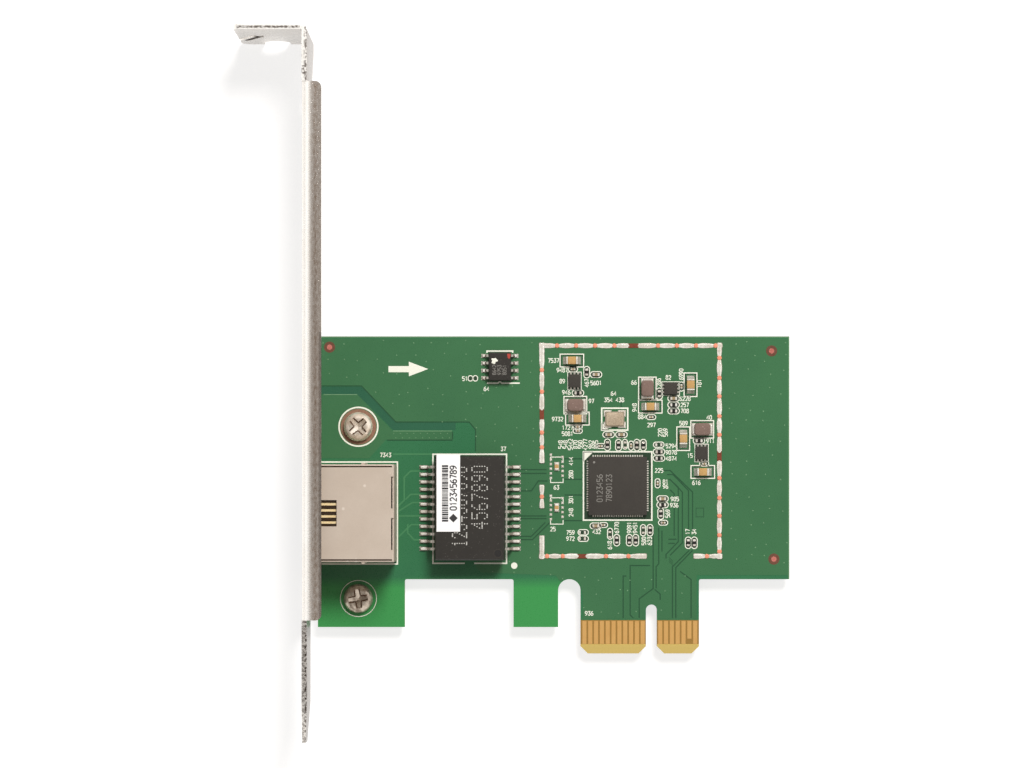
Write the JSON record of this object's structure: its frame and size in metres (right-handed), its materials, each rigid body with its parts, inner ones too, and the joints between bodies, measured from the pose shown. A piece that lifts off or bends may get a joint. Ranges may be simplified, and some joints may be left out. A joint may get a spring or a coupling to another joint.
{
  "type": "network interface card",
  "caption": "Short expansion card with a one-lane edge connector, a shielded network jack, a magnetics module and a full-height folded mounting bracket.",
  "frame": {"origin": "middle of the key notch's mouth on the board's lower edge, half way through the board", "axes": "+X along the board away from the bracket, +Y up to the bracket tab, +Z out of the component side"},
  "size_m": [0.094, 0.1201, 0.0194],
  "materials": {
    "solder_mask": "green solder resist over glass-fibre laminate, satin",
    "gold": "hard gold plating on the edge contacts, satin",
    "bracket_plating": "nickel-plated steel sheet, satin with fine speckle",
    "screw_steel": "zinc-plated steel, satin",
    "shield_tin": "tin-plated brass sheet, satin, warm grey",
    "housing_plastic": "moulded black thermoplastic",
    "contact_gold": "gold-flashed bronze strip",
    "solder": "bright tin solder",
    "lead_tin": "matt tin plating on the leads",
    "mould_compound": "dark grey moulding compound, matt",
    "label_paper": "white matt label",
    "crystal_ceramic": "brown ceramic base",
    "crystal_metal": "gold-toned seam-welded lid",
    "ferrite": "grey-brown ferrite, matt",
    "capacitor_ceramic": "tan capacitor ceramic",
    "small_capacitor_ceramic": "pale tan capacitor ceramic",
    "resistor_film": "black resistor glaze on ceramic",
    "legend_ink": "pale printed ink, matt: legend on the board, print on the packages",
    "bare_copper": "bare copper spots in the tinned fence and at the aiming marks"
  },
  "bodies": {
    "root": {"bracket_screw_lower": "screw_steel", "bracket_screw_upper": "screw_steel", "capacitor_1_body": "capacitor_ceramic", "capacitor_1_ends": "lead_tin", "capacitor_2_body": "capacitor_ceramic", "capacitor_2_ends": "lead_tin", "capacitor_3_body": "capacitor_ceramic", "capacitor_3_ends": "lead_tin", "capacitor_4_body": "capacitor_ceramic", "capacitor_4_ends": "lead_tin", "capacitor_5_body": "capacitor_ceramic", "capacitor_5_ends": "lead_tin", "capacitor_6_body": "capacitor_ceramic", "capacitor_6_ends": "lead_tin", "chip_resistor_ends": "lead_tin", "chip_resistors": "resistor_film", "circuit_board": "solder_mask", "controller_chip": "mould_compound", "controller_chip_contacts": "lead_tin", "crystal_base": "crystal_ceramic", "crystal_lid": "crystal_metal", "edge_contacts_back": "gold", "edge_contacts_front": "gold", "fence_solder_strips": "solder", "inductor_input_core": "ferrite", "inductor_input_terminals": "lead_tin", "inductor_output_core": "ferrite", "inductor_output_terminals": "lead_tin", "inductor_upper_core": "ferrite", "inductor_upper_terminals": "lead_tin", "jack_contacts": "contact_gold", "jack_housing": "housing_plastic", "jack_shield": "shield_tin", "jack_solder_joints": "solder", "memory_chip": "mould_compound", "memory_chip_leads": "lead_tin", "mounting_bracket": "bracket_plating", "power_chip_input": "mould_compound", "power_chip_input_contacts": "lead_tin", "power_chip_output": "mould_compound", "power_chip_output_contacts": "lead_tin", "power_chip_upper": "mould_compound", "power_chip_upper_contacts": "lead_tin", "small_capacitor_ends": "lead_tin", "small_capacitors": "small_capacitor_ceramic", "solder_fillets": "solder", "solder_lands": "solder", "tiny_capacitor_ends": "lead_tin", "tiny_capacitors": "small_capacitor_ceramic", "transformer_body": "mould_compound", "transformer_label": "label_paper", "transformer_leads_left": "lead_tin", "transformer_leads_right": "lead_tin"}
  },
  "joints": []
}
